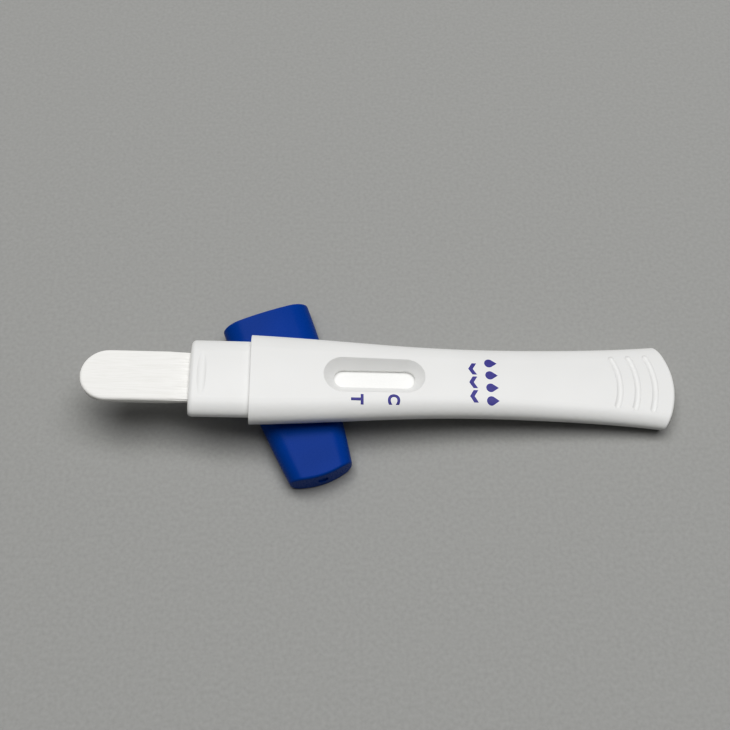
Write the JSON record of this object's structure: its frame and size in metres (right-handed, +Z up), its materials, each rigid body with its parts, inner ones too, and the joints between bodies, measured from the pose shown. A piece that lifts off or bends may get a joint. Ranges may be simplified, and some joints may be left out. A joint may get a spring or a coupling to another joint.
{
  "type": "lateral flow test device",
  "caption": "Midstream lateral flow test stick: white waisted housing with result window and absorbent tip, leaning on its pulled-off blue cap.",
  "frame": {"origin": "on the table, under the middle of the outline of the device and cap as they lie", "axes": "+X along the device from its absorbent tip to its tail, +Z up from the table"},
  "size_m": [0.1382, 0.0468, 0.0154],
  "materials": {
    "white_plastic": "satin moulded white plastic",
    "blue_plastic": "satin moulded blue plastic",
    "wick_fibre": "bonded white fibre",
    "card_plastic": "white plastic card",
    "membrane": "matt white porous membrane",
    "pad_fibre": "white pressed fibre",
    "conjugate_fibre": "dyed glass fibre pad"
  },
  "bodies": {
    "root": {"upper_shell": "white_plastic", "lower_shell": "white_plastic", "wick": "wick_fibre", "backing_card": "card_plastic", "membrane": "membrane", "sample_pad": "pad_fibre", "conjugate_pad": "conjugate_fibre", "absorbent_pad": "pad_fibre", "cap": "blue_plastic"}
  },
  "joints": []
}
